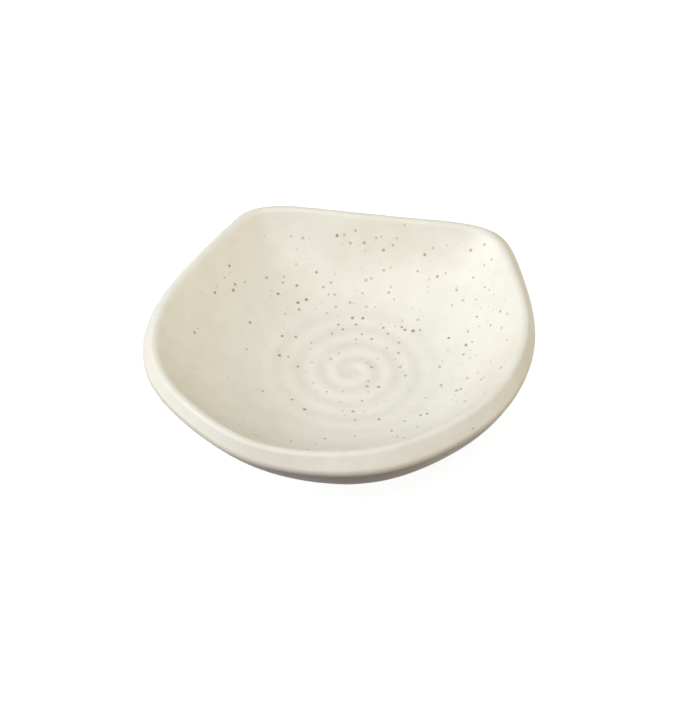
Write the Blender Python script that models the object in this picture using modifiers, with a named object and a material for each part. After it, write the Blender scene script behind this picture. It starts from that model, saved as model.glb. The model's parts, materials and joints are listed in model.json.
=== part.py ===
"""Small pressed bowl: a thrown stoneware body, a foot ring luted under it and a coat of cream glaze.

Every piece starts at the wheel, as a profile turned about the wheel axis.  The soft wall is then pressed
from outside at eight places, which leaves the rim with straight runs, rounded corners and a lip that is
thinner at one end of its front than at the other.  A finger drawn outward over the floor leaves a spiral
ridge.  Metres, +Z up; the bowl stands on z = 0, and the origin lies under the middle of its outline.
"""

from math import atan2, cos, hypot, pi, radians, sin

import bpy
from mathutils import Vector

MM = 0.001

# Thrown bowl, before its wall is pressed
INSIDE_RADIUS = 54.5 * MM      # wheel axis to the top of the inside wall
INSIDE_DEPTH = 22.0 * MM       # middle of the floor up to the top of the inside wall
WALL_CURVE = 3.3               # power of the inside profile: 2 is an open dish, 5 a flat pan
FLOOR_THICKNESS = 4.4 * MM
INNER_EDGE = 1.3 * MM          # rounding of the lip's inner edge
LIP_FACE = 2.7 * MM            # straight run across the lip, between its two edges
LIP_FALL = radians(38.0)       # how far that run falls outwards
OUTER_EDGE = 1.9 * MM          # rounding of the lip's outer edge
WALL_LEAN = radians(21.0)      # how far the outside wall faces down where it leaves the lip
SHOULDER_FULLNESS = 18.0 * MM  # how far the outside wall keeps the lip's direction
HEEL_FULLNESS = 13.0 * MM      # how far the outside wall keeps the heel's direction
HEEL_SLOPE = radians(33.0)     # rise of the outside wall where it leaves the heel

# Foot ring
FOOT_RADIUS = 27.0 * MM        # outside of the ring, where it is luted to the body
FOOT_WIDTH = 5.0 * MM
FOOT_HEIGHT = 5.0 * MM
FOOT_TAPER = 0.8 * MM          # how far each side of the ring draws in towards the table
FOOT_EDGE = 0.7 * MM           # rounding of the ring's edges
HEEL_STEP = 1.6 * MM           # ledge of body left outside the ring

# Glaze
GLAZE_THICKNESS = 0.6 * MM
GLAZE_LINE = 8.5 * MM          # height above the table where the glaze was wiped off
CLEARANCE = 0.3 * MM           # gap kept between pieces that touch

# Colours
GLAZE_COLOUR = (0.79, 0.76, 0.66)
CLAY_COLOUR = (0.46, 0.35, 0.25)
FOOT_COLOUR = (0.42, 0.31, 0.22)

# Pressed rim: direction of each pressed side, and its distance from the wheel axis to the crest of the lip
PRESSED_SIDES = (
    (radians(81.0), 49.95 * MM),  # back
    (radians(149.7), 54.5 * MM),  # left, towards the back
    (radians(184.0), 59.65 * MM), # left corner
    (radians(225.5), 56.1 * MM),  # left, towards the front
    (radians(262.8), 55.25 * MM), # front
    (radians(300.3), 52.75 * MM), # right, towards the front
    (radians(334.5), 51.8 * MM),  # right
    (radians(9.1), 52.8 * MM),    # right, towards the back
)
CORNER_SHARPNESS = 11.0        # a large value leaves sharp corners between the sides
PRESS_START = 30.0 * MM        # radius up to which the floor stays round
LIP_UNEVENNESS = 1.3 * MM      # how much the lip lacks at the left of its front, and has over at the right

# Spiral throwing ridge in the floor
RIDGE_RADIUS = 31.0 * MM       # where the ridge runs out
RIDGE_PITCH = 6.6 * MM         # from one turn to the next
RIDGE_HEIGHT = 0.4 * MM        # from groove to crest at the middle; it dies away outwards
RIDGE_START = radians(9.0)     # direction in which the ridge leaves the middle

# Facets
SEGMENTS = 52                  # round each ring
FLOOR_RINGS = 20
WALL_RINGS = 7
INNER_EDGE_RINGS = 3
OUTER_EDGE_RINGS = 4
OUTSIDE_RINGS = 7
EDGE_SEGMENTS = 2
EDGE_ANGLE = radians(40.0)     # a corner sharper than this is rounded
WELD = 0.01 * MM               # points this near the wheel axis become one

SEAT_HEIGHT = FOOT_HEIGHT + CLEARANCE
FLOOR_HEIGHT = SEAT_HEIGHT + FLOOR_THICKNESS
HEEL_RADIUS = FOOT_RADIUS + HEEL_STEP
LIP_FACING = pi / 2.0 - LIP_FALL


def smooth_step(low, high, value):
    """0 below low, 1 above high and an even slope between them."""
    share = min(max((value - low) / (high - low), 0.0), 1.0)
    return share * share * (3.0 - 2.0 * share)


def inside_face(radius):
    """A point on the clay's inside face, and the direction that it faces."""
    share = radius / INSIDE_RADIUS
    height = FLOOR_HEIGHT + INSIDE_DEPTH * share ** WALL_CURVE
    slope = WALL_CURVE * INSIDE_DEPTH / INSIDE_RADIUS * share ** (WALL_CURVE - 1.0)
    return Vector((radius, height)), Vector((-slope, 1.0)).normalized()


def pointing(angle):
    """The direction in the profile that points outwards at 0 and up at a right angle."""
    return Vector((cos(angle), sin(angle)))


def inner_edge_middle():
    """The middle of the inner edge's rounding.  The crest of the lip lies straight above it."""
    end, inward = inside_face(INSIDE_RADIUS)
    return end - inward * INNER_EDGE


def outer_edge_middle():
    """The middle of the outer edge's rounding."""
    facing = pointing(LIP_FACING)
    outward = Vector((facing.y, -facing.x))
    return inner_edge_middle() + facing * (INNER_EDGE - OUTER_EDGE) + outward * LIP_FACE


def rounded_edge(middle, radius, first, last, rings):
    """Points round an edge from one facing to another, and the ways they face."""
    facings = [pointing(first + (last - first) * i / rings) for i in range(rings + 1)]
    return [(middle + facing * radius, facing) for facing in facings]


def lip():
    """Points over the lip, from the top of the inside wall to the top of the outside wall."""
    inward = inside_face(INSIDE_RADIUS)[1]
    wall_facing = atan2(inward.y, inward.x)
    inner = rounded_edge(inner_edge_middle(), INNER_EDGE, wall_facing, LIP_FACING, INNER_EDGE_RINGS)
    outer = rounded_edge(outer_edge_middle(), OUTER_EDGE, LIP_FACING, -WALL_LEAN, OUTER_EDGE_RINGS)
    return inner + outer


def outside_face(share):
    """A point on the outside wall, from the lip at 0 down to the heel at 1, and the way it faces."""
    top, outward = lip()[-1]
    down = Vector((outward.y, -outward.x))
    heel = Vector((HEEL_RADIUS, SEAT_HEIGHT))
    shoulder = top + down * SHOULDER_FULLNESS
    belly = heel + pointing(HEEL_SLOPE) * HEEL_FULLNESS
    left = 1.0 - share
    point = top * left**3 + shoulder * 3 * left**2 * share + belly * 3 * left * share**2 + heel * share**3
    along = (shoulder - top) * left**2 + (belly - shoulder) * 2 * left * share + (heel - belly) * share**2
    return point, Vector((-along.y, along.x)).normalized()


def share_at_glaze_line():
    """Where on the outside wall the glaze stops, found by halving."""
    low, high = 0.0, 1.0
    while high - low > 1e-6:
        middle = (low + high) / 2.0
        if outside_face(middle)[0].y > GLAZE_LINE:
            low = middle
        else:
            high = middle
    return low


def glazed_wall():
    """Points of the clay that carry glaze, from the middle of the floor over the lip to the glaze line."""
    floor = [inside_face(RIDGE_RADIUS * i / FLOOR_RINGS) for i in range(FLOOR_RINGS)]
    rise = INSIDE_RADIUS - RIDGE_RADIUS
    wall = [inside_face(RIDGE_RADIUS + rise * i / WALL_RINGS) for i in range(WALL_RINGS)]
    last = share_at_glaze_line()
    outside = [outside_face(last * (i + 1) / OUTSIDE_RINGS) for i in range(OUTSIDE_RINGS)]
    return floor + wall + lip() + outside


def clay_profile():
    """The body's profile: the glazed wall, the bare band down to the heel and the flat underside."""
    points = [point for point, _ in glazed_wall()]
    bare_start = share_at_glaze_line()
    points.append(outside_face((bare_start + 1.0) / 2.0)[0])
    points.append(outside_face(1.0)[0])
    points.append(Vector((0.0, SEAT_HEIGHT)))
    return points


def glaze_profile():
    """The coat's profile: out over its face, round its rolled edge and back along the clay."""
    wall = glazed_wall()
    face = [point + facing * (CLEARANCE + GLAZE_THICKNESS) for point, facing in wall]
    back = [point + facing * CLEARANCE for point, facing in wall]
    edge, facing = wall[-1]
    down = Vector((facing.y, -facing.x))
    roll = edge + facing * (CLEARANCE + GLAZE_THICKNESS / 2.0) + down * GLAZE_THICKNESS / 2.0
    return face + [roll] + back[::-1]


def foot_profile():
    """The ring's section, a closed loop that starts on its outer side at the top."""
    outer = FOOT_RADIUS
    inner = FOOT_RADIUS - FOOT_WIDTH
    return [
        Vector((outer, FOOT_HEIGHT)),
        Vector((outer - FOOT_TAPER, 0.0)),
        Vector((inner + FOOT_TAPER, 0.0)),
        Vector((inner, FOOT_HEIGHT)),
        Vector((outer, FOOT_HEIGHT)),
    ]


def turn_on_wheel(name, profile, collection):
    """An object made by turning a profile of radius and height about the wheel axis."""
    closed = profile[0] == profile[-1]
    points = profile[:-1] if closed else profile
    edges = [(i, i + 1) for i in range(len(points) - 1)]
    if closed:
        edges.append((len(points) - 1, 0))
    mesh = bpy.data.meshes.new(name)
    mesh.from_pydata([(point.x, 0.0, point.y) for point in points], edges, [])
    piece = bpy.data.objects.new(name, mesh)
    collection.objects.link(piece)
    screw = piece.modifiers.new("wheel", "SCREW")
    screw.axis = "Z"
    screw.angle = 2.0 * pi
    screw.steps = SEGMENTS
    screw.render_steps = SEGMENTS
    screw.use_merge_vertices = True
    screw.merge_threshold = WELD
    screw.use_smooth_shade = True
    return piece


def freeze(piece):
    """Turns the piece's modifiers into plain mesh, so that its points can be pushed by hand."""
    graph = bpy.context.evaluated_depsgraph_get()
    mesh = bpy.data.meshes.new_from_object(piece.evaluated_get(graph))
    mesh.name = piece.name
    piece.modifiers.clear()
    piece.data = mesh


def rim_outline(angle):
    """Distance from the wheel axis to the crest of the pressed rim, in a direction."""
    sides = sum(
        max(cos(angle - direction) / distance, 0.0) ** CORNER_SHARPNESS
        for direction, distance in PRESSED_SIDES
    )
    return sides ** (-1.0 / CORNER_SHARPNESS)


def lip_thinning(angle):
    """How far the inside of the lip is moved outwards, most of all at the two ends of its front."""
    return LIP_UNEVENNESS * sin(angle) * cos(angle) * (1.0 - sin(angle))


def inside_share(radius, height):
    """1 on the inside of the wall and 0 on its outside, with an even change over the lip."""
    if radius < INSIDE_RADIUS:
        return float(height > inside_face(radius)[0].y - CLEARANCE)
    shoulder = outer_edge_middle()
    if height < shoulder.y:
        return 0.0
    crest = inner_edge_middle().x
    outermost = shoulder.x + OUTER_EDGE
    return 1.0 - min(max((radius - crest) / (outermost - crest), 0.0), 1.0)


def press_wall(piece):
    """Moves the round wall in and out until its lip follows the pressed outline."""
    crest_radius = inner_edge_middle().x
    for vertex in piece.data.vertices:
        radius = hypot(vertex.co.x, vertex.co.y)
        angle = atan2(vertex.co.y, vertex.co.x)
        share = smooth_step(PRESS_START, INSIDE_RADIUS, radius)
        stretch = 1.0 + share * (rim_outline(angle) / crest_radius - 1.0)
        thinning = share * inside_share(radius, vertex.co.z) * lip_thinning(angle)
        vertex.co.x = (radius * stretch + thinning) * cos(angle)
        vertex.co.y = (radius * stretch + thinning) * sin(angle)


def ridge_height(radius, angle):
    """Height of the spiral ridge over the even floor.  It winds outward clockwise, seen from above."""
    turn = 2.0 * pi * radius / RIDGE_PITCH + angle - RIDGE_START
    rises = smooth_step(0.0, RIDGE_PITCH / 2.0, radius)
    fades = 1.0 - radius / RIDGE_RADIUS
    return RIDGE_HEIGHT / 2.0 * cos(turn) * rises * fades


def draw_ridge(piece):
    """Raises the spiral ridge on the points at the clay's inside face and above it."""
    for vertex in piece.data.vertices:
        radius = hypot(vertex.co.x, vertex.co.y)
        if radius < RIDGE_RADIUS and inside_share(radius, vertex.co.z) > 0.0:
            vertex.co.z += ridge_height(radius, atan2(vertex.co.y, vertex.co.x))


def plain_material(name, colour, roughness, coat=0.0):
    """A Principled material of one colour."""
    material = bpy.data.materials.new(name)
    material.use_nodes = True
    shader = material.node_tree.nodes["Principled BSDF"]
    shader.inputs["Base Color"].default_value = (*colour, 1.0)
    shader.inputs["Roughness"].default_value = roughness
    shader.inputs["Metallic"].default_value = 0.0
    shader.inputs["Coat Weight"].default_value = coat
    return material


def make_clay_body(collection):
    """The thrown and pressed body."""
    body = turn_on_wheel("clay_body", clay_profile(), collection)
    freeze(body)
    draw_ridge(body)
    press_wall(body)
    body.data.materials.append(plain_material("bare stoneware", CLAY_COLOUR, 0.85))
    return body


def make_glaze_coat(collection):
    """The coat of glaze, which follows the body at the clearance."""
    coat = turn_on_wheel("glaze_coat", glaze_profile(), collection)
    freeze(coat)
    draw_ridge(coat)
    press_wall(coat)
    coat.data.materials.append(plain_material("cream glaze", GLAZE_COLOUR, 0.38, 0.3))
    return coat


def make_foot_ring(collection):
    """The turned foot, with its edges rounded."""
    foot = turn_on_wheel("foot_ring", foot_profile(), collection)
    bevel = foot.modifiers.new("rounded edges", "BEVEL")
    bevel.width = FOOT_EDGE
    bevel.segments = EDGE_SEGMENTS
    bevel.limit_method = "ANGLE"
    bevel.angle_limit = EDGE_ANGLE
    foot.data.materials.append(plain_material("bare foot", FOOT_COLOUR, 0.9))
    return foot


def place_wheel_axis(coat, collection):
    """An empty on the wheel axis, placed so that the middle of the outline comes to the origin."""
    across = [vertex.co.x for vertex in coat.data.vertices]
    deep = [vertex.co.y for vertex in coat.data.vertices]
    axis = bpy.data.objects.new("wheel_axis", None)
    axis.location.x = -(min(across) + max(across)) / 2.0
    axis.location.y = -(min(deep) + max(deep)) / 2.0
    collection.objects.link(axis)
    return axis


def main():
    """Builds the bowl in an emptied scene."""
    for leftover in list(bpy.data.objects):
        bpy.data.objects.remove(leftover, do_unlink=True)
    collection = bpy.data.collections.new("small_ceramic_bowl")
    bpy.context.scene.collection.children.link(collection)
    body = make_clay_body(collection)
    coat = make_glaze_coat(collection)
    foot = make_foot_ring(collection)
    for piece in (body, coat):
        piece.data.shade_smooth()
    axis = place_wheel_axis(coat, collection)
    for piece in (body, coat, foot):
        piece.parent = axis


main()
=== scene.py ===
"""Small pressed bowl: its glaze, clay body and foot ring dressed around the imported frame, on a plain stage.

Each piece starts as a section, from the wheel axis outwards.  A node tree turns the section on the wheel,
presses the soft wall at eight places and draws the spiral ridge in the floor.  Metres, +Z up.
"""

import json
from math import atan2, cos, pi, radians, sin, tau

import bpy
from bpy.props import FloatProperty, FloatVectorProperty, IntProperty, PointerProperty
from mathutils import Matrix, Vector

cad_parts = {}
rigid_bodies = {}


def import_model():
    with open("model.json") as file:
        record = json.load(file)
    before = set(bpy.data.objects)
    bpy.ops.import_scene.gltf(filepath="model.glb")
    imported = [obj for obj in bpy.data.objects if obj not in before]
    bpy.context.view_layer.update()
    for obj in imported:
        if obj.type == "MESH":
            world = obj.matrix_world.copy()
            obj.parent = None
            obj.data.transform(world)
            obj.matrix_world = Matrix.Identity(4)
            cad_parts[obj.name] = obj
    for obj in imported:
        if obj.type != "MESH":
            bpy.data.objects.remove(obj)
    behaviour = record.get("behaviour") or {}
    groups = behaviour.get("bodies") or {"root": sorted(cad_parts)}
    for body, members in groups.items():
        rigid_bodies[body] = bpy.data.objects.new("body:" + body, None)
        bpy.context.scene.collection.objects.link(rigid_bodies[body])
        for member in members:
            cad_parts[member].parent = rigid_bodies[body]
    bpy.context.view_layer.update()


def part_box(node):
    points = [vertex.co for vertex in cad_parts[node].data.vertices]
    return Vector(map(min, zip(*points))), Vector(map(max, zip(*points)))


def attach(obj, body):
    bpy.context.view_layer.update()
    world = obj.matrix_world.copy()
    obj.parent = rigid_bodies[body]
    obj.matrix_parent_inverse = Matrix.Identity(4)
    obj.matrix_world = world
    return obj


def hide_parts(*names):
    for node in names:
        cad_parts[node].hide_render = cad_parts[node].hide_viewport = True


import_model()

bl_info = {
    "name": "Pressed bowl",
    "version": (1, 0, 0),
    "blender": (4, 5, 0),
    "location": "3D View > Sidebar > Bowl",
    "description": "Glaze, clay body, foot ring and stage of a small pressed bowl",
    "category": "Add Mesh",
}

MM = 0.001
RIGHT_ANGLE = pi / 2.0
WHITE = (1.0, 1.0, 1.0)
FOOT_LOW, FOOT_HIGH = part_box("foot_ring")
BODY_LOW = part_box("clay_body")[0]
WHEEL_AXIS = (FOOT_LOW + FOOT_HIGH) / 2.0
SIDES = ("Back", "Left towards back", "Left corner", "Left towards front",
         "Front", "Right towards front", "Right", "Right towards back")

# Rings along the inside, round each edge of the lip and along the outside
COAT_FACE_RINGS = (100, 12, 44)
COAT_BACK_RINGS = (40, 4, 12)
CLAY_WALL_RINGS = (60, 5, 20)

# Rings along the shorter stretches
ROLL_RINGS = 6
UNDERSIDE_RINGS = 80
HEEL_RINGS = 5
BAND_RINGS = 14
FOOT_SIDE_RINGS = 8
FOOT_FLAT_RINGS = 6

# Shares of the outside wall: taken up by the heel's rounding, and bare clay that runs on under the glaze
HEEL_SHARE = 0.04
COVERED_SHARE = 0.04

# Powers of a cosine: the larger, the narrower the drawn-out corner and the thin place in the lip
PINCH_NARROWNESS = 260.0
THIN_NARROWNESS = 2.0

# Length of the hand's waves, in radii of the bowl
LIP_WAVES = 0.7
EDGE_WAVES = 0.22

# The middle of the range of noise, and its seeds: the coat and the body share one, so they rise together
NOISE_MIDDLE = 0.5
BOWL_SEED = 4.0
FOOT_SEED = 8.0

# The map: a disc for what shows, and a small disc in a corner for what is hidden
DISC_MIDDLE, DISC_RADIUS = (0.5, 0.5, 0.0), 0.49
CORNER_MIDDLE, CORNER_START, CORNER_RUN = (0.08, 0.08, 0.0), 0.01, 0.06


def length(name, description, millimetres):
    """A property that holds a length."""
    return FloatProperty(name=name, description=description, default=millimetres * MM,
                         unit="LENGTH", subtype="DISTANCE", precision=5)


def angle(name, description, degrees):
    """A property that holds an angle."""
    return FloatProperty(name=name, description=description, default=radians(degrees),
                         unit="ROTATION", subtype="ANGLE")


def share(name, description, default):
    """A property that holds a share from 0 to 1."""
    return FloatProperty(name=name, description=description, default=default, min=0.0, max=1.0,
                         subtype="FACTOR")


def colour(name, description, default):
    """A property that holds a colour."""
    return FloatVectorProperty(name=name, description=description, default=default, size=3,
                               min=0.0, max=1.0, subtype="COLOR")


class BowlShape(bpy.types.PropertyGroup):
    """Sizes of the thrown and pressed bowl."""

    inside_radius: length("Inside radius", "Wheel axis to the top of the inside wall", 54.5)
    inside_depth: length("Inside depth", "Middle of the floor up to the top of the inside wall", 22.0)
    wall_curve: FloatProperty(name="Wall curve", description="Power of the inside profile", default=3.3)
    floor_thickness: length("Floor thickness", "Clay under the middle of the floor", 4.4)
    inner_edge: length("Inner edge", "Rounding of the lip's inner edge", 1.3)
    lip_face: length("Lip face", "Straight run across the lip, between its two edges", 3.9)
    lip_fall: angle("Lip fall", "How far that run falls outwards", 38.0)
    outer_edge: length("Outer edge", "Rounding of the lip's outer edge", 1.1)
    lip_unevenness: length("Lip unevenness", "How much the lip lacks at the left end of its front", 1.3)
    left_thinning: length("Left thinning", "How much more the lip lacks at the left", 1.7)
    right_thinning: length("Right thinning", "How much more the lip lacks at the right", 1.95)
    thin_direction: angle("Thin direction", "Where the lip lacks most at the right", 345.0)
    left_undercut: length("Left undercut", "How far the outside is hollowed below the lip at the left", 3.2)
    lip_wobble: length("Lip wobble", "How far the lip rises and falls round the bowl", 0.3)
    wall_lean: angle("Wall lean", "How far the outside wall faces down where it leaves the lip", 22.5)
    shoulder_fullness: length("Shoulder fullness", "How far the outside keeps the lip's direction", 18.5)
    heel_fullness: length("Heel fullness", "How far the outside keeps the heel's direction", 13.0)
    heel_slope: angle("Heel slope", "Rise of the outside wall where it leaves the heel", 33.0)
    heel_step: length("Heel step", "Ledge of body left outside the foot ring", 1.6)
    heel_edge: length("Heel edge", "Rounding of the body's lower edge", 0.5)
    seat_height: length("Seat height", "Underside of the body above the table", BODY_LOW.z / MM)
    foot_radius: length("Foot radius", "Outside of the foot ring", (FOOT_HIGH.x - FOOT_LOW.x) / 2.0 / MM)
    foot_width: length("Foot width", "Width of the foot ring at its top", 5.0)
    foot_taper: length("Foot taper", "How far each side draws in towards the table", 0.8)
    foot_edge: length("Foot edge", "Rounding of the ring where it meets the table", 0.7)
    foot_fillet: length("Foot fillet", "Smoothed clay where the ring is luted on", 1.0)
    foot_bond: length("Foot bond", "How far the ring reaches into the body", 0.05)
    glaze_thickness: length("Glaze thickness", "From the clay to the face of the glaze", 0.9)
    glaze_bond: length("Glaze bond", "From the clay to the back of the glaze", 0.3)
    glaze_line: length("Glaze line", "Height above the table where the glaze was wiped off", 8.5)
    edge_wobble: length("Edge wobble", "How far the wiped edge of the glaze wanders", 2.4)
    edge_reach: length("Edge reach", "How far up the wall the glaze follows its wiped edge", 6.0)
    press_start: length("Press start", "Radius up to which the floor stays round", 30.0)
    corner_pinch: length("Corner pinch", "How far the corner at the back left is drawn out", 0.7)
    pinch_direction: angle("Pinch direction", "Direction of that corner", 121.9)
    corner_sharpness: FloatProperty(
        name="Corner sharpness", description="A large value leaves sharp corners", default=11.0)
    side_directions: FloatVectorProperty(
        name="Pressed sides", description="Direction of each pressed side", size=8, unit="ROTATION",
        default=tuple(map(radians, (81.3, 148.7, 182.5, 223.8, 263.5, 302.0, 336.8, 9.7))))
    side_distances: FloatVectorProperty(
        name="Pressed side distances", description="Wheel axis to the crest of each pressed side", size=8,
        unit="LENGTH",
        default=tuple(side * MM for side in (49.35, 53.95, 58.5, 55.9, 54.75, 52.0, 51.4, 52.35)))
    ridge_radius: length("Ridge radius", "Where the spiral ridge runs out", 31.0)
    ridge_pitch: length("Ridge pitch", "From one turn of the ridge to the next", 6.6)
    ridge_height: length("Ridge height", "From groove to crest at the middle; it dies away outwards", 0.4)
    ridge_start: angle("Ridge start", "Direction in which the ridge leaves the middle", 9.0)
    glaze_swell: length("Glaze swell", "How far the face of the glaze swells and sinks", 0.16)
    foot_swell: length("Foot swell", "How far the face of the foot swells and sinks", 0.1)
    swell_size: length("Swell size", "Width of a swell", 9.0)
    tool_marks: length("Tool marks", "Depth of the rings that the turning tool left on the body", 0.05)
    tool_pitch: length("Tool pitch", "From one of those rings to the next", 1.3)
    segments: IntProperty(name="Segments", description="Faces round the bowl", default=360)


class GlazeFinish(bpy.types.PropertyGroup):
    """Colours and marks of the glaze."""

    cream: colour("Cream", "The glaze where it lies thick", (0.815, 0.793, 0.70))
    warm: colour("Warm cream", "The glaze where it lies thin over the clay", (0.77, 0.738, 0.625))
    breaking: colour("Breaking", "The glaze where it thins over the lip's outer edge", (0.83, 0.765, 0.65))
    iron: colour("Iron", "The specks that come through the glaze", (0.28, 0.2, 0.125))
    speck_size: length("Speck size", "Largest radius of a speck", 0.88)
    speck_spacing: length("Speck spacing", "Size of the cells that hold one speck each", 2.1)
    fewest_specks: share("Fewest specks", "Share of cells with a speck at the front left", 0.045)
    most_specks: share("Most specks", "Share of cells with a speck at the back right", 0.305)
    rim_specks: share("Rim specks", "How many of the specks are left at the top of the rim", 0.06)
    small_specks: share("Small specks", "How many small specks there are for each large one", 0.2)
    pooling: share("Pooling", "How much darker the spiral's crest is, and brighter its groove", 0.048)
    # Random brighter and darker spots in the glaze's colour. The brighter spots are partly painted sheen:
    # they stand in for the patchy highlights of the satin glaze.
    mottling_and_sheen: share("Mottling", "How much the brightness of the glaze varies from spot to spot", 0.13)
    roughness: share("Roughness", "Satin face of the glaze", 0.5)


class ClayFinish(bpy.types.PropertyGroup):
    """Colours of the bare clay."""

    buff: colour("Buff", "The bare fired clay", (0.46, 0.35, 0.25))
    toasted: colour("Toasted", "Clay that the fire has darkened", (0.36, 0.25, 0.165))
    iron: colour("Iron", "Flecks in the clay", (0.10, 0.065, 0.045))
    fleck_size: length("Fleck size", "Largest radius of a fleck", 0.3)
    fleck_spacing: length("Fleck spacing", "Size of the cells that hold one fleck each", 2.2)
    flecks: share("Flecks", "Share of cells with a fleck", 0.55)
    roughness: share("Roughness", "Dry face of the clay", 0.78)


class StudioStage(bpy.types.PropertyGroup):
    """Floor and lights."""

    floor_glow: share("Floor glow", "How brightly the floor glows near the bowl", 0.92)
    floor_shade: share("Floor shade", "How strongly the floor takes the bowl's shadow", 0.25)
    glow_start: length("Glow start", "Distance from the bowl at which the floor starts to whiten", 200.0)
    glow_end: length("Glow end", "Distance from the bowl at which the floor is white", 1500.0)
    floor_bounce: colour("Floor bounce", "Light that the floor sends back up", (0.05, 0.016, 0.014))
    fill: share("Fill", "Strength of the even light from all round", 0.03)
    key_colour: colour("Key colour", "Light from the left", (0.94, 0.96, 1.0))
    fill_colour: colour("Fill colour", "Light that reaches the shaded side", (1.0, 0.90, 0.70))


class Wire:
    """An output of a node.  Arithmetic on wires adds the Math nodes that carry it out."""

    def __init__(self, graph, socket):
        self.graph = graph
        self.socket = socket

    def also(self, output):
        """Another output of the same node."""
        return Wire(self.graph, self.socket.node.outputs[output])

    def math(self, operation, *others):
        """A Math node with this wire as its first value."""
        return self.graph.math(operation, self, *others)

    def __add__(self, other):
        return self.math("ADD", other)

    __radd__ = __add__

    def __sub__(self, other):
        return self.math("SUBTRACT", other)

    def __rsub__(self, other):
        return self.graph.math("SUBTRACT", other, self)

    def __mul__(self, other):
        return self.math("MULTIPLY", other)

    __rmul__ = __mul__

    def __truediv__(self, other):
        return self.math("DIVIDE", other)

    def __rtruediv__(self, other):
        return self.graph.math("DIVIDE", other, self)

    def __pow__(self, other):
        return self.math("POWER", other)


class Graph:
    """A node tree that is being drawn."""

    def __init__(self, tree):
        self.tree = tree

    def node(self, kind, settings=None, sockets=None, output=0):
        """Adds a node: its settings first, then the values or wires of its sockets."""
        node = self.tree.nodes.new(kind)
        for name, value in (settings or {}).items():
            setattr(node, name, value)
        for name, value in (sockets or {}).items():
            socket = self.socket(node, name)
            if isinstance(value, Wire):
                self.tree.links.new(value.socket, socket)
            else:
                socket.default_value = value
        return Wire(self, node.outputs[output]) if node.outputs else None

    @staticmethod
    def socket(node, name):
        """An input by its number, or by its name among those in use."""
        if isinstance(name, int):
            return node.inputs[name]
        return next(socket for socket in node.inputs if socket.name == name and socket.enabled)

    def join(self, wire, node, socket):
        """Links a wire to a socket of a node that is already there."""
        self.tree.links.new(wire.socket, node.inputs[socket])

    def math(self, operation, *values):
        """A Math node."""
        return self.node("ShaderNodeMath", {"operation": operation}, dict(enumerate(values)))

    def smooth(self, value, low, high, start=0.0, end=1.0):
        """Goes from start at low to end at high, and levels out at both."""
        sockets = {"Value": value, "From Min": low, "From Max": high, "To Min": start, "To Max": end}
        return self.node("ShaderNodeMapRange", {"interpolation_type": "SMOOTHSTEP"}, sockets)

    def noise(self, place, size, detail, seed):
        """Smooth noise from 0 to 1, with lumps of about the size given."""
        sockets = {"Vector": place, "Scale": 1.0 / size, "Detail": detail, "W": seed}
        return self.node("ShaderNodeTexNoise", {"noise_dimensions": "4D"}, sockets)

    def sway(self, place, size, detail, seed):
        """The same noise about 0, half up and half down."""
        return self.noise(place, size, detail, seed) - NOISE_MIDDLE

    def blend(self, amount, first, second):
        """A colour between two others."""
        sockets = {"Factor": amount, "A": first, "B": second}
        return self.node("ShaderNodeMix", {"data_type": "RGBA"}, sockets, output=2)

    def vector(self, x, y, z):
        """A vector from its three parts."""
        return self.node("ShaderNodeCombineXYZ", None, {0: x, 1: y, 2: z})

    def moved(self, vector, way):
        """The sum of two vectors."""
        return self.node("ShaderNodeVectorMath", {"operation": "ADD"}, {0: vector, 1: way})

    def scaled(self, vector, factor):
        """A vector or colour times a number."""
        return self.node("ShaderNodeVectorMath", {"operation": "SCALE"}, {"Vector": vector, "Scale": factor})


def inside_face(shape, radius):
    """A point on the clay's inside face, and the direction that it faces."""
    part = radius / shape.inside_radius
    height = shape.seat_height + shape.floor_thickness + shape.inside_depth * part ** shape.wall_curve
    slope = shape.wall_curve * shape.inside_depth / shape.inside_radius * part ** (shape.wall_curve - 1.0)
    return Vector((radius, height)), Vector((-slope, 1.0)).normalized()


def pointing(turn):
    """The direction in the section that points outwards at 0 and up at a right angle."""
    return Vector((cos(turn), sin(turn)))


def inner_edge_middle(shape):
    """The middle of the inner edge's rounding.  The crest of the lip lies straight above it."""
    end, inward = inside_face(shape, shape.inside_radius)
    return end - inward * shape.inner_edge


def outer_edge_middle(shape):
    """The middle of the outer edge's rounding."""
    facing = pointing(RIGHT_ANGLE - shape.lip_fall)
    outward = Vector((facing.y, -facing.x))
    across = facing * (shape.inner_edge - shape.outer_edge) + outward * shape.lip_face
    return inner_edge_middle(shape) + across


def rounded_edge(middle, radius, first, last, rings):
    """Points round an edge from one facing to another, and the ways they face."""
    facings = [pointing(first + (last - first) * i / rings) for i in range(rings + 1)]
    return [(middle + facing * radius, facing) for facing in facings]


def lip_edges(shape, rings):
    """The lip's inner edge from the inside wall, and its outer edge to the outside wall."""
    inward = inside_face(shape, shape.inside_radius)[1]
    wall_facing = atan2(inward.y, inward.x)
    lip_facing = RIGHT_ANGLE - shape.lip_fall
    inner = rounded_edge(inner_edge_middle(shape), shape.inner_edge, wall_facing, lip_facing, rings)
    outer = rounded_edge(outer_edge_middle(shape), shape.outer_edge, lip_facing, -shape.wall_lean, rings)
    return inner, outer


def outside_face(shape, part):
    """A point on the outside wall, from the lip at 0 down to the heel at 1, and the way it faces."""
    top, outward = lip_edges(shape, 1)[1][-1]
    heel = Vector((shape.foot_radius + shape.heel_step, shape.seat_height))
    shoulder = top + Vector((outward.y, -outward.x)) * shape.shoulder_fullness
    belly = heel + pointing(shape.heel_slope) * shape.heel_fullness
    left = 1.0 - part
    point = top * left**3 + shoulder * 3 * left**2 * part + belly * 3 * left * part**2 + heel * part**3
    along = (shoulder - top) * left**2 + (belly - shoulder) * 2 * left * part + (heel - belly) * part**2
    return point, Vector((-along.y, along.x)).normalized()


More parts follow.
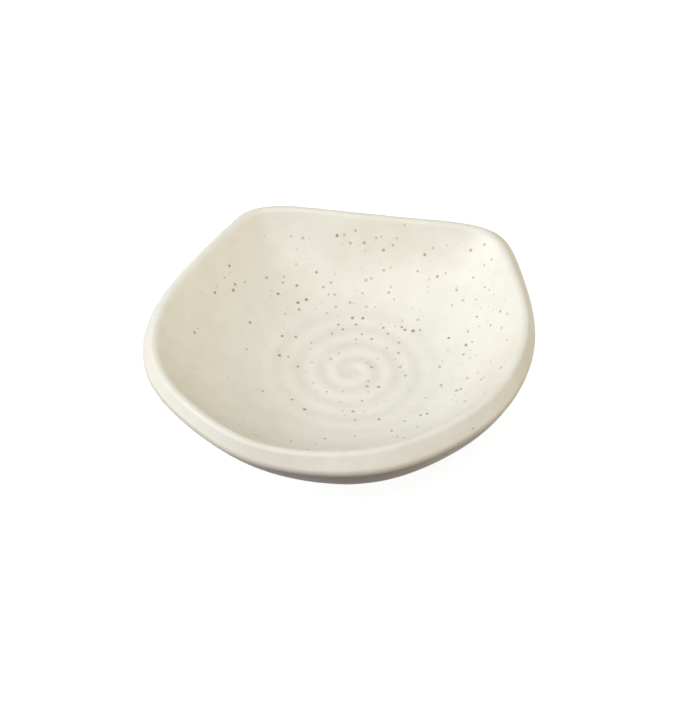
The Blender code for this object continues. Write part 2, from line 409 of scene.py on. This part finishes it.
def part_at_glaze_line(shape):
    """Where on the outside wall the glaze stops, found by halving."""
    low, high, close_enough = 0.0, 1.0, 1e-6
    while high - low > close_enough:
        middle = (low + high) / 2.0
        if outside_face(shape, middle)[0].y > shape.glaze_line:
            low = middle
        else:
            high = middle
    return low


def glazed_wall(shape, rings):
    """Points of the clay that carry glaze, from the middle of the floor over the lip to the glaze line.

    Each point comes with the way it faces, with its share in what happens to the inside, which is 1 up to
    the crest of the lip and 0 from its outermost point on, and with its share in the hollow below the lip.
    """
    inside_rings, edge_rings, outside_rings = rings
    inside = [inside_face(shape, shape.inside_radius * i / inside_rings) for i in range(inside_rings)]
    inner, outer = lip_edges(shape, edge_rings)
    (start, facing), finish = inner[-1], outer[0][0]
    face_rings = edge_rings // 2
    face = [(start.lerp(finish, i / face_rings), facing) for i in range(1, face_rings)]
    last = part_at_glaze_line(shape)
    outside = [outside_face(shape, last * (i + 1) / outside_rings) for i in range(outside_rings)]
    crest = inner_edge_middle(shape).x
    shoulder = outer_edge_middle(shape)
    outermost = shoulder.x + shape.outer_edge

    def inside_share(point):
        """What share a point of the lip has in what happens to the inside."""
        across = (point.x - crest) / (outermost - crest)
        return 0.0 if point.y < shoulder.y else 1.0 - min(max(across, 0.0), 1.0)

    over_lip = [(*spot, inside_share(spot[0]), 0.0) for spot in inner + face + outer]
    below = [(*spot, 0.0, sin(pi * (i + 1) / outside_rings)) for i, spot in enumerate(outside)]
    return [(*spot, 1.0, 0.0) for spot in inside] + over_lip + below


class Section:
    """Points along a section, with the marks that the wheel tree reads there."""

    MARKS = ("inside", "below", "face", "edge", "hidden")

    def __init__(self):
        self.points = []
        self.marks = {mark: [] for mark in self.MARKS}

    def add(self, point, **marks):
        """Adds a point.  A mark that isn't given is 0 there."""
        self.points.append(point)
        for mark in self.MARKS:
            self.marks[mark].append(marks.get(mark, 0.0))

    def runs(self):
        """Distance along the shown part and along the hidden part, at each point."""
        shown, hidden = [0.0], [0.0]
        for i in range(1, len(self.points)):
            step = (self.points[i] - self.points[i - 1]).length
            out_of_sight = self.marks["hidden"][i] > 0.0 or self.marks["hidden"][i - 1] > 0.0
            shown.append(shown[-1] + (0.0 if out_of_sight else step))
            hidden.append(hidden[-1] + (step if out_of_sight else 0.0))
        return shown, hidden

    def chain(self, name):
        """The section as an object: a chain of edges in the plane through the wheel axis."""
        mesh = bpy.data.meshes.new(name)
        edges = [(i, i + 1) for i in range(len(self.points) - 1)]
        mesh.from_pydata([(point.x, 0.0, point.y) for point in self.points], edges, [])
        shown, hidden = self.runs()
        values = {**self.marks, "shown_run": shown, "hidden_run": hidden}
        for mark, numbers in values.items():
            mesh.attributes.new(mark, "FLOAT", "POINT").data.foreach_set("value", numbers)
        piece = bpy.data.objects.new(name, mesh)
        bpy.context.scene.collection.objects.link(piece)
        return piece


def glaze_section(shape):
    """The coat: its face from the middle of the floor to the glaze line, its rolled edge and its back."""
    section = Section()
    wall = glazed_wall(shape, COAT_FACE_RINGS)
    end, outward = wall[-1][:2]
    down = Vector((outward.y, -outward.x))

    def near_edge(point):
        """How much a point follows the wiped edge."""
        return max(0.0, 1.0 - (point - end).length / shape.edge_reach) ** 2

    for point, facing, inside, below in wall:
        section.add(point + facing * shape.glaze_thickness, inside=inside, below=below, face=1.0,
                    edge=near_edge(point))
    for i in range(1, ROLL_RINGS + 1):
        turn = RIGHT_ANGLE * i / ROLL_RINGS
        section.add(end + (outward * cos(turn) + down * sin(turn)) * shape.glaze_thickness, edge=1.0)
    for point, facing, inside, below in reversed(glazed_wall(shape, COAT_BACK_RINGS)):
        edge = near_edge(point)
        lift = shape.glaze_bond * (1.0 - edge)
        section.add(point + facing * lift, inside=inside, below=below, edge=edge, hidden=1.0)
    return section


def clay_section(shape):
    """The body: from the middle of its underside out to the heel, up its bare band and on under the glaze.

    The bare band runs on a little under the glaze, so the last two points of the glazed wall are left out.
    """
    section = Section()
    flat = shape.foot_radius + shape.heel_step - shape.heel_edge
    underside = [Vector((flat * i / UNDERSIDE_RINGS, shape.seat_height)) for i in range(UNDERSIDE_RINGS)]
    middle = Vector((flat, shape.seat_height + shape.heel_edge))
    heel = rounded_edge(middle, shape.heel_edge, -RIGHT_ANGLE, -shape.heel_slope, HEEL_RINGS)
    first, last = 1.0 - HEEL_SHARE, part_at_glaze_line(shape) - COVERED_SHARE
    parts = [first + (last - first) * i / BAND_RINGS for i in range(1, BAND_RINGS + 1)]
    band = [outside_face(shape, part)[0] for part in parts]
    for point in underside + [point for point, facing in heel] + band:
        section.add(point, face=1.0)
    for point, facing, inside, below in reversed(glazed_wall(shape, CLAY_WALL_RINGS)[:-2]):
        section.add(point, inside=inside, below=below, hidden=1.0)
    return section


def foot_side(shape, base, way, top):
    """One side of the ring, from its fillet down to the table.  The way is 1 outside and -1 inside."""
    fillet, edge, taper = shape.foot_fillet, shape.foot_edge, shape.foot_taper
    parts = [i / FOOT_SIDE_RINGS for i in range(FOOT_SIDE_RINGS + 1)]
    turns = [RIGHT_ANGLE * part for part in parts]
    luted = [(way * fillet * (1.0 - sin(turn)), top - fillet * (1.0 - cos(turn))) for turn in turns]
    side = [(-way * taper * part, (top - fillet) * (1.0 - part) + edge * part) for part in parts]
    rounded = [(-way * (taper + edge * (1.0 - cos(turn))), edge * (1.0 - sin(turn))) for turn in turns]
    return [Vector((base + across, height)) for across, height in luted + side[1:] + rounded[1:]]


def foot_section(shape):
    """The ring: from its fillet outside, down, across the flat that stands on the table, and up inside."""
    section = Section()
    top = shape.seat_height + shape.foot_bond
    outer, inner = shape.foot_radius, shape.foot_radius - shape.foot_width
    down = foot_side(shape, outer, 1.0, top)
    up = foot_side(shape, inner, -1.0, top)[::-1]
    flat = [down[-1].lerp(up[0], i / FOOT_FLAT_RINGS) for i in range(1, FOOT_FLAT_RINGS)]
    for point in down + flat + up:
        section.add(point, face=1.0)
    section.add(Vector(((inner + outer) / 2.0, top)), hidden=1.0)
    section.add(down[0].copy(), hidden=1.0)
    return section


class Wheel:
    """Draws the node tree that turns a section on the wheel, presses the wall and draws the spiral ridge."""

    NAME = "throw and press"
    SIZES = {
        "Geometry": ("Section",),
        "Int": ("Segments",),
        "Bool": ("Underside first",),
        "Vector": ("Wheel axis", "Edge direction"),
        "Float": ("Inside radius", "Crest radius", "Press start", "Corner sharpness", "Corner pinch",
                  "Pinch direction", "Ridge radius", "Ridge pitch", "Ridge height", "Ridge start",
                  "Lip unevenness", "Left thinning", "Right thinning", "Thin direction", "Left undercut",
                  "Lip wobble", "Edge wobble", "Swell", "Swell size", "Tool marks", "Tool pitch",
                  "Map start", "Map scale", "Hidden scale", "Seed",
                  *(side + " direction" for side in SIDES), *(side + " distance" for side in SIDES)),
        "Material": ("Material",),
    }

    def __init__(self):
        """Draws the tree.  Its grid has a row for each point of the section and a column for each step."""
        self.tree = bpy.data.node_groups.new(self.NAME, "GeometryNodeTree")
        self.add_sockets()
        self.graph = Graph(self.tree)
        graph = self.graph
        self.given = graph.node("NodeGroupInput")
        self.columns = self.size("Segments") + 1.0
        index = graph.node("GeometryNodeInputIndex")
        # Half a step keeps the division clear of rounding at the start of a row
        half_a_step = 0.5
        self.ring = graph.math("FLOOR", (index + half_a_step) / self.columns)
        self.turned = (index - self.ring * self.columns) / self.size("Segments") * tau
        self.cosine = self.turned.math("COSINE")
        self.sine = self.turned.math("SINE")
        self.around = graph.vector(self.cosine, self.sine, 0.0)
        point = self.at_ring("FLOAT_VECTOR", graph.node("GeometryNodeInputPosition"))
        self.radius = graph.node("ShaderNodeSeparateXYZ", None, {"Vector": point})
        self.height = self.radius.also("Z")
        self.pressed = graph.smooth(self.radius, self.size("Press start"), self.size("Inside radius"))
        finished = self.finished(self.marked(self.turned_piece()))
        graph.node("NodeGroupOutput", None, {"Piece": finished})

    def add_sockets(self):
        """Gives the tree its inputs and its output."""
        for kind, names in self.SIZES.items():
            for name in names:
                self.tree.interface.new_socket(name=name, in_out="INPUT", socket_type="NodeSocket" + kind)
        self.tree.interface.new_socket(name="Piece", in_out="OUTPUT", socket_type="NodeSocketGeometry")

    def size(self, name):
        """An input of the tree."""
        return self.given.also(name)

    def at_ring(self, kind, value):
        """A value of the section, at the point that a ring is turned from."""
        return self.graph.node("GeometryNodeSampleIndex", {"data_type": kind, "domain": "POINT"},
                               {"Geometry": self.size("Section"), "Value": value, "Index": self.ring})

    def kept(self, kind, name):
        """A value that is stored with the points."""
        return self.graph.node("GeometryNodeInputNamedAttribute", {"data_type": kind}, {"Name": name})

    def mark(self, name):
        """A mark of the section."""
        return self.at_ring("FLOAT", self.kept("FLOAT", name))

    def towards(self, direction):
        """How far round the wheel a point lies towards a direction: 1 there, and 0 from a right angle on."""
        return (self.turned - direction).math("COSINE").math("MAXIMUM", 0.0)

    def ridge(self):
        """The spiral ridge, from -1 in its groove to 1 on its crest, and how it dies away outwards."""
        wave = self.radius / self.size("Ridge pitch") * tau + self.turned - self.size("Ridge start")
        rises = self.graph.smooth(self.radius, 0.0, self.size("Ridge pitch") / 2.0)
        fades = (1.0 - self.radius / self.size("Ridge radius")).math("MAXIMUM", 0.0)
        return wave.math("COSINE") * rises * self.mark("inside"), fades

    def stretch(self):
        """How far the eight pressed sides and the drawn-out corner carry the round wall in or out."""
        sides = 0.0
        for side in SIDES:
            reach = self.towards(self.size(side + " direction")) / self.size(side + " distance")
            sides = sides + reach ** self.size("Corner sharpness")
        pinched = self.towards(self.size("Pinch direction")) ** PINCH_NARROWNESS
        outline = sides ** (-1.0 / self.size("Corner sharpness")) + pinched * self.size("Corner pinch")
        return 1.0 + self.pressed * (outline / self.size("Crest radius") - 1.0)

    def thinned(self):
        """How far out the lip's inside lies where the lip is thin, less the depth of the hollow below it."""
        to_left = self.towards(pi)
        to_right = self.towards(self.size("Thin direction")) ** THIN_NARROWNESS
        front_ends = self.size("Lip unevenness") * self.sine * self.cosine * (1.0 - self.sine)
        thinner = front_ends + self.size("Left thinning") * to_left + self.size("Right thinning") * to_right
        hollow = self.size("Left undercut") * to_left * self.mark("below")
        return thinner * self.mark("inside") * self.pressed - hollow

    def turned_piece(self):
        """The grid with each point in its place, and with what later steps and the materials read stored."""
        graph = self.graph
        turn_of_ridge, fades = self.ridge()
        raised = turn_of_ridge * fades * self.size("Ridge height") / 2.0
        lip_sway = graph.sway(self.around, size=LIP_WAVES, detail=1.0, seed=self.size("Seed"))
        edge_sway = graph.sway(self.around, size=EDGE_WAVES, detail=2.0, seed=self.size("Seed") + 7.0)
        edge_shift = edge_sway * self.size("Edge wobble") * self.mark("edge")
        wander = graph.node("ShaderNodeSeparateXYZ", None, {"Vector": self.size("Edge direction")})
        radius = self.radius * self.stretch() + self.thinned() + edge_shift * wander
        lift = raised + lip_sway * self.size("Lip wobble") * self.pressed + edge_shift * wander.also("Z")
        spot = graph.vector(radius * self.cosine, radius * self.sine, self.height + lift)

        on_disc = self.size("Map start") + self.mark("shown_run") * self.size("Map scale")
        in_corner = CORNER_START + self.mark("hidden_run") * self.size("Hidden scale")
        stored = {"on_disc": ("FLOAT_VECTOR", graph.scaled(self.around, on_disc)),
                  "in_corner": ("FLOAT_VECTOR", graph.scaled(self.around, in_corner)),
                  "out_of_sight": ("FLOAT", self.mark("hidden")),
                  "open_face": ("FLOAT", self.mark("face")),
                  "run": ("FLOAT", self.mark("shown_run")),
                  "ridge": ("FLOAT", turn_of_ridge * fades.math("SQRT")),
                  "inside": ("FLOAT", self.mark("inside"))}
        rings = graph.node("GeometryNodeAttributeDomainSize", None, {"Geometry": self.size("Section")})
        points = graph.node("GeometryNodeMeshGrid", None, {"Vertices X": rings, "Vertices Y": self.columns})
        for name, (kind, value) in stored.items():
            points = graph.node("GeometryNodeStoreNamedAttribute", {"data_type": kind, "domain": "POINT"},
                                {"Geometry": points, "Name": name, "Value": value})
        place = graph.moved(spot, self.size("Wheel axis"))
        return graph.node("GeometryNodeSetPosition", None, {"Geometry": points, "Position": place})

    def marked(self, piece):
        """The piece with its seam and poles closed, slow swells over its face and rings left by the tool."""
        graph = self.graph
        closed = graph.node("GeometryNodeMergeByDistance", None, {"Geometry": piece, "Distance": 0.001 * MM})
        outward = graph.node("GeometryNodeFlipFaces", None,
                             {"Mesh": closed, "Selection": self.size("Underside first")})
        where = graph.node("GeometryNodeInputPosition")
        swell = graph.sway(where, size=self.size("Swell size"), detail=1.0, seed=self.size("Seed") + 3.0)
        groove = (self.kept("FLOAT", "run") / self.size("Tool pitch") * tau).math("SINE")
        relief = swell * self.size("Swell") + groove * self.size("Tool marks")
        push = graph.scaled(graph.node("GeometryNodeInputNormal"), relief * self.kept("FLOAT", "open_face"))
        return graph.node("GeometryNodeSetPosition", None, {"Geometry": outward, "Offset": push})

    def finished(self, piece):
        """The piece on its map, smooth and with its material."""
        graph = self.graph
        unseen = graph.node("GeometryNodeFieldOnDomain", {"data_type": "FLOAT", "domain": "FACE"},
                            {"Value": self.kept("FLOAT", "out_of_sight")})
        on_disc = graph.moved(self.kept("FLOAT_VECTOR", "on_disc"), DISC_MIDDLE)
        in_corner = graph.moved(self.kept("FLOAT_VECTOR", "in_corner"), CORNER_MIDDLE)
        hidden = unseen.math("GREATER_THAN", 0.0)
        on_map = graph.node("GeometryNodeSwitch", {"input_type": "VECTOR"},
                            {"Switch": hidden, "False": on_disc, "True": in_corner})
        mapped = graph.node("GeometryNodeStoreNamedAttribute", {"data_type": "FLOAT2", "domain": "CORNER"},
                            {"Geometry": piece, "Name": "OFBake", "Value": on_map})
        for name in ("on_disc", "in_corner", "out_of_sight", "open_face", "run"):
            mapped = graph.node("GeometryNodeRemoveAttribute", None, {"Geometry": mapped, "Name": name})
        smooth = graph.node("GeometryNodeSetShadeSmooth", None, {"Geometry": mapped})
        real = graph.node("GeometryNodeRealizeInstances", None, {"Geometry": smooth})
        return graph.node("GeometryNodeSetMaterial", None,
                          {"Geometry": real, "Material": self.size("Material")})


def wheel_sizes(shape):
    """The inputs of the wheel tree that are the same for all pieces."""
    alike = ("segments", "inside_radius", "press_start", "corner_sharpness", "corner_pinch",
             "pinch_direction", "ridge_radius", "ridge_pitch", "ridge_height", "ridge_start",
             "lip_unevenness", "left_thinning", "right_thinning", "thin_direction", "left_undercut",
             "swell_size", "tool_pitch")
    sizes = {name.replace("_", " ").capitalize(): getattr(shape, name) for name in alike}
    sizes["Wheel axis"] = (WHEEL_AXIS.x, WHEEL_AXIS.y, 0.0)
    sizes["Crest radius"] = inner_edge_middle(shape).x
    for side, direction, distance in zip(SIDES, shape.side_directions, shape.side_distances):
        sizes[side + " direction"] = direction
        sizes[side + " distance"] = distance
    return sizes


def throw(name, section, shape, material, **sizes):
    """A finished piece: its section turned, pressed and marked by the wheel tree."""
    piece = section.chain(name)
    tree = bpy.data.node_groups.get(Wheel.NAME) or Wheel().tree
    wheel = piece.modifiers.new("wheel", "NODES")
    wheel.node_group = tree
    shown, hidden = section.runs()
    values = {**wheel_sizes(shape), "Material": material, **sizes}
    values["Map scale"] = (DISC_RADIUS - sizes.get("Map start", 0.0)) / max(shown)
    values["Hidden scale"] = CORNER_RUN / max(hidden)
    for item in tree.interface.items_tree:
        if item.in_out == "INPUT" and item.name in values:
            wheel[item.identifier] = values[item.name]
    evaluated = piece.evaluated_get(bpy.context.evaluated_depsgraph_get())
    mesh = bpy.data.meshes.new_from_object(evaluated)
    mesh.name = name
    piece.modifiers.remove(wheel)
    piece.data = mesh
    return piece


def opaque(tint):
    """A colour with the fourth value that a node's colour socket takes."""
    return (*tint, 1.0)


def shader_graph(name):
    """A new material, its graph and its Principled shader."""
    material = bpy.data.materials.new(name)
    material.use_nodes = True
    return material, Graph(material.node_tree), material.node_tree.nodes["Principled BSDF"]


def specks(graph, place, spacing, size, density):
    """How much iron shows: soft round specks, one in each cell whose draw is under the density."""
    smallest, core, faintest = 0.7, 0.25, 0.45
    cell = graph.node("ShaderNodeTexVoronoi", {"feature": "F1", "voronoi_dimensions": "3D"},
                      {"Vector": place, "Scale": 1.0 / spacing, "Randomness": 1.0})
    draws = graph.node("ShaderNodeSeparateColor", None, {"Color": cell.also("Color")})
    radius = (smallest + (1.0 - smallest) * draws) * (size / spacing)
    spot = graph.smooth(cell / radius, low=core, high=1.0, start=1.0, end=0.0)
    present = draws.also("Green").math("LESS_THAN", density)
    return spot * present * (faintest + (1.0 - faintest) * draws.also("Blue"))


def glaze_ground(graph, place, broad, inside, look):
    """The glaze without its specks: warm where it lies thin, mottled with spots that are partly painted
    sheen, and darker on the spiral's crest.
    """
    cloud_share, warmest, most_broken = 0.35, 0.65, 0.6
    cloud = graph.noise(place, size=6.0 * MM, detail=3.0, seed=2.0)
    patches = broad * (1.0 - cloud_share) + cloud * cloud_share
    thin = graph.smooth(patches, low=0.42, high=0.66, end=warmest)
    even = graph.blend(thin, opaque(look.cream), opaque(look.warm))
    outer_edge = graph.smooth(inside, low=0.0, high=0.4, start=most_broken, end=0.0)
    broken = graph.blend(outer_edge, even, opaque(look.breaking))
    ridge = graph.node("ShaderNodeAttribute", {"attribute_name": "ridge"}, output="Fac")
    # Random spots of brightness over the whole glaze, partly real tone and partly painted sheen for the
    # glaze's patchy highlights
    mottle_and_sheen = graph.sway(place, size=5.5 * MM, detail=3.0, seed=13.0) * look.mottling_and_sheen
    return graph.scaled(broken, 1.0 + mottle_and_sheen - ridge * look.pooling)


def glaze_iron(graph, place, inside, look):
    """Iron specks: more towards the back and right, in loose clusters, and hardly any on the lip."""
    rightwards, backwards = 0.8, 0.45
    small_spacing, small_size, small_strength = 0.55, 0.5, 0.6
    apart = graph.node("ShaderNodeSeparateXYZ", None, {"Vector": place})
    towards = apart * rightwards + apart.also("Y") * backwards
    side = graph.smooth(towards, low=-36.0 * MM, high=34.0 * MM,
                        start=look.fewest_specks, end=look.most_specks)
    lumps = graph.noise(place, size=7.0 * MM, detail=1.0, seed=5.0)
    clusters = graph.smooth(lumps, low=0.34, high=0.62, start=0.2, end=1.8)
    rim = graph.smooth(apart.also("Z"), low=26.0 * MM, high=31.5 * MM, start=1.0, end=look.rim_specks)
    # Across the lip, inside goes from 1 to 0, and this from 1 down to 0 and up to 1 again
    off_the_lip = (1.0 - 4.0 * inside * (1.0 - inside)) ** 2.0
    density = side * clusters * rim * off_the_lip
    large = specks(graph, place, look.speck_spacing, look.speck_size, density)
    small = specks(graph, place, look.speck_spacing * small_spacing, look.speck_size * small_size,
                   density * look.small_specks)
    return (large + small * small_strength).math("MINIMUM", 1.0)


def glaze_material(look):
    """Satin cream glaze, with iron specks that gather on one side of the bowl."""
    broad_gloss, fine_gloss, fine_relief, speck_hollow = 0.16, 0.06, 0.2, 0.25
    material, graph, shader = shader_graph("speckled cream glaze")
    place = graph.node("ShaderNodeTexCoord", output="Object")
    inside = graph.node("ShaderNodeAttribute", {"attribute_name": "inside"}, output="Fac")
    broad = graph.noise(place, size=26.0 * MM, detail=2.0, seed=1.0)
    fine = graph.noise(place, size=0.9 * MM, detail=2.0, seed=9.0)
    ground = glaze_ground(graph, place, broad, inside, look)
    iron = glaze_iron(graph, place, inside, look)
    graph.join(graph.blend(iron, ground, opaque(look.iron)), shader, "Base Color")
    gloss = look.roughness + (broad - NOISE_MIDDLE) * broad_gloss + (fine - NOISE_MIDDLE) * fine_gloss
    graph.join(gloss, shader, "Roughness")
    dimples = graph.noise(place, size=2.4 * MM, detail=2.0, seed=11.0)
    relief = dimples + fine * fine_relief - iron * speck_hollow
    bump = graph.node("ShaderNodeBump", None, {"Strength": 0.12, "Distance": 0.1 * MM, "Height": relief})
    graph.join(bump, shader, "Normal")
    shader.inputs["IOR"].default_value = 1.42
    return material


def clay_material(look):
    """Bare stoneware: buff, toasted in clouds, gritty and flecked with iron."""
    grain_share, grain_gloss, fleck_relief = 0.2, 0.3, 0.4
    material, graph, shader = shader_graph("bare stoneware")
    place = graph.node("ShaderNodeTexCoord", output="Object")
    cloud = graph.noise(place, size=12.0 * MM, detail=4.0, seed=21.0)
    grain = graph.noise(place, size=0.5 * MM, detail=3.0, seed=23.0)
    toast = graph.smooth(cloud * (1.0 - grain_share) + grain * grain_share, low=0.38, high=0.64)
    ground = graph.blend(toast, opaque(look.buff), opaque(look.toasted))
    flecks = specks(graph, place, look.fleck_spacing, look.fleck_size, look.flecks)
    graph.join(graph.blend(flecks, ground, opaque(look.iron)), shader, "Base Color")
    graph.join(look.roughness + (grain - NOISE_MIDDLE) * grain_gloss, shader, "Roughness")
    relief = grain + flecks * fleck_relief
    bump = graph.node("ShaderNodeBump", None, {"Strength": 0.5, "Distance": 0.12 * MM, "Height": relief})
    graph.join(bump, shader, "Normal")
    return material


def seat(piece, node):
    """Puts a finished piece in the place of its CAD node."""
    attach(piece, "root")
    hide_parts(node)


class BOWL_OT_lay_glaze(bpy.types.Operator):
    """Make the coat of speckled cream glaze"""

    bl_idname = "bowl.lay_glaze"
    bl_label = "Lay the glaze"

    def execute(self, context):
        shape = context.scene.bowl_shape
        facing = outside_face(shape, part_at_glaze_line(shape))[1]
        coat = throw("glaze", glaze_section(shape), shape, glaze_material(context.scene.glaze_finish), **{
            "Lip wobble": shape.lip_wobble, "Edge wobble": shape.edge_wobble,
            "Edge direction": (facing.y, 0.0, -facing.x), "Swell": shape.glaze_swell, "Seed": BOWL_SEED})
        seat(coat, "glaze_coat")
        return {"FINISHED"}


class BOWL_OT_throw_body(bpy.types.Operator):
    """Make the thrown clay body"""

    bl_idname = "bowl.throw_body"
    bl_label = "Throw the body"

    def execute(self, context):
        shape = context.scene.bowl_shape
        body = throw("body", clay_section(shape), shape, clay_material(context.scene.clay_finish), **{
            "Lip wobble": shape.lip_wobble, "Tool marks": shape.tool_marks, "Seed": BOWL_SEED,
            "Underside first": True})
        seat(body, "clay_body")
        return {"FINISHED"}


class BOWL_OT_turn_foot(bpy.types.Operator):
    """Make the turned foot ring"""

    bl_idname = "bowl.turn_foot"
    bl_label = "Turn the foot"

    def execute(self, context):
        shape = context.scene.bowl_shape
        foot = throw("foot", foot_section(shape), shape, bpy.data.materials["bare stoneware"], **{
            "Map start": 0.25, "Swell": shape.foot_swell, "Seed": FOOT_SEED})
        seat(foot, "foot_ring")
        return {"FINISHED"}


class BOWL_OT_set_stage(bpy.types.Operator):
    """Make the floor, the lights and the camera"""

    bl_idname = "bowl.set_stage"
    bl_label = "Set the stage"

    def execute(self, context):
        stage = context.scene.studio_stage
        floor_plane(stage)
        even_light(context.scene, stage)
        softboxes(stage)
        photo_camera(context.scene)
        context.scene.view_settings.view_transform = "Standard"
        return {"FINISHED"}


def floor_material(stage):
    """White to the camera, with the bowl's faint shadow, and dim to the light that it sends back up."""
    material = bpy.data.materials.new("pale floor")
    material.use_nodes = True
    nodes = material.node_tree.nodes
    nodes.remove(nodes["Principled BSDF"])
    graph = Graph(material.node_tree)
    path = graph.node("ShaderNodeLightPath", output="Is Camera Ray")
    seen = path.math("MAXIMUM", path.also("Is Glossy Ray")).math("MAXIMUM", path.also("Is Transmission Ray"))
    place = graph.node("ShaderNodeTexCoord", output="Object")
    away = graph.node("ShaderNodeVectorMath", {"operation": "LENGTH"}, {0: place}, output="Value")
    near, shade = opaque([stage.floor_glow] * 3), opaque([stage.floor_shade] * 3)
    shine = graph.blend(graph.smooth(away, stage.glow_start, stage.glow_end), near, opaque(WHITE))
    glow = graph.node("ShaderNodeEmission", None, {"Color": shine})
    shaded = graph.node("ShaderNodeBsdfDiffuse", None, {"Color": shade})
    white = graph.node("ShaderNodeAddShader", None, {0: glow, 1: shaded})
    dim = graph.node("ShaderNodeBsdfDiffuse", None, {"Color": opaque(stage.floor_bounce)})
    surface = graph.node("ShaderNodeMixShader", None, {0: seen, 1: dim, 2: white})
    graph.join(surface, nodes["Material Output"], "Surface")
    return material


def floor_plane(stage):
    """A wide floor, a hair below the foot so that their faces don't coincide."""
    half, low = 4.0, -0.02 * MM
    mesh = bpy.data.meshes.new("floor")
    mesh.from_pydata([(-half, -half, low), (half, -half, low), (half, half, low), (-half, half, low)], [],
                     [(0, 1, 2, 3)])
    mesh.materials.append(floor_material(stage))
    floor = bpy.data.objects.new("floor", mesh)
    bpy.context.scene.collection.objects.link(floor)


def even_light(scene, stage):
    """Even light from all round, behind a white background."""
    world = bpy.data.worlds.new("studio")
    world.use_nodes = True
    scene.world = world
    graph = Graph(world.node_tree)
    background = world.node_tree.nodes["Background"]
    path = graph.node("ShaderNodeLightPath", output="Is Camera Ray")
    graph.join(stage.fill + path * (1.0 - stage.fill), background, "Strength")
    graph.join(graph.blend(path, opaque(stage.fill_colour), opaque(WHITE)), background, "Color")


def softbox(name, azimuth, elevation, watts, tint):
    """A soft lamp that faces the bowl."""
    distance, size = 1.2, 0.8
    lamp = bpy.data.lights.new(name, "AREA")
    lamp.shape = "DISK"
    lamp.size = size
    lamp.energy = watts
    lamp.color = tint
    box = bpy.data.objects.new(name, lamp)
    away = Vector((cos(azimuth) * cos(elevation), sin(azimuth) * cos(elevation), sin(elevation)))
    box.location = away * distance
    box.rotation_euler = away.to_track_quat("Z", "Y").to_euler()
    bpy.context.scene.collection.objects.link(box)


def softboxes(stage):
    """Broad light from the left, high light from the front and weaker, warmer light from the right."""
    lamps = (("left softbox", 180.0, 42.0, 7.0, stage.key_colour),
             ("low left softbox", 180.0, 12.0, 5.3, stage.key_colour),
             ("front left softbox", 230.0, 46.0, 2.3, WHITE),
             ("high front softbox", 285.0, 72.0, 6.7, WHITE),
             ("right softbox", 356.0, 18.0, 4.9, stage.fill_colour),
             ("back right softbox", 45.0, 12.0, 1.6, stage.fill_colour))
    for name, azimuth, elevation, watts, tint in lamps:
        softbox(name, radians(azimuth), radians(elevation), watts, tint)


def photo_camera(scene):
    """The camera at the photograph's viewing angle."""
    focal_length, sensor_width, nearest = 81.33, 36.0, 0.01
    elevation, distance = radians(45.0), 500.0 * MM
    floor_height, aim_up, aim_left = 10.6 * MM, 4.71 * MM, 0.19 * MM
    lens = bpy.data.cameras.new("camera")
    lens.lens = focal_length
    lens.sensor_width = sensor_width
    lens.clip_start = nearest
    camera = bpy.data.objects.new("camera", lens)
    scene.collection.objects.link(camera)
    middle_of_floor = Vector((WHEEL_AXIS.x, WHEEL_AXIS.y, floor_height))
    back = Vector((0.0, -cos(elevation), sin(elevation)))
    up = Vector((0.0, sin(elevation), cos(elevation)))
    aim = middle_of_floor + up * aim_up - Vector((aim_left, 0.0, 0.0))
    camera.location = middle_of_floor + back * distance
    camera.rotation_euler = (camera.location - aim).to_track_quat("Z", "Y").to_euler()
    scene.camera = camera


class BOWL_PT_making(bpy.types.Panel):
    """Steps of making the bowl, and its sizes and colours"""

    bl_idname = "BOWL_PT_making"
    bl_label = "Pressed bowl"
    bl_space_type = "VIEW_3D"
    bl_region_type = "UI"
    bl_category = "Bowl"

    def draw(self, context):
        for step in STEPS:
            self.layout.operator(step.bl_idname)
        for group in GROUPS:
            settings = getattr(context.scene, group)
            box = self.layout.box()
            for name in settings.bl_rna.properties.keys():
                if name not in ("rna_type", "name"):
                    box.prop(settings, name)


GROUPS = {"bowl_shape": BowlShape, "glaze_finish": GlazeFinish, "clay_finish": ClayFinish,
          "studio_stage": StudioStage}
STEPS = (BOWL_OT_lay_glaze, BOWL_OT_throw_body, BOWL_OT_turn_foot, BOWL_OT_set_stage)


def register():
    """Adds the settings, the operators and the panel to Blender."""
    for group, kind in GROUPS.items():
        bpy.utils.register_class(kind)
        setattr(bpy.types.Scene, group, PointerProperty(type=kind))
    for kind in (*STEPS, BOWL_PT_making):
        bpy.utils.register_class(kind)


def unregister():
    """Takes them out again."""
    for kind in (BOWL_PT_making, *reversed(STEPS)):
        bpy.utils.unregister_class(kind)
    for group, kind in GROUPS.items():
        delattr(bpy.types.Scene, group)
        bpy.utils.unregister_class(kind)


def main():
    """Makes the bowl and its stage."""
    register()
    for startup in [item for item in bpy.data.objects if item.name in ("Cube", "Light", "Camera")]:
        bpy.data.objects.remove(startup, do_unlink=True)
    bpy.ops.bowl.lay_glaze()
    bpy.ops.bowl.throw_body()
    bpy.ops.bowl.turn_foot()
    bpy.ops.bowl.set_stage()


if __name__ == "__main__":
    main()
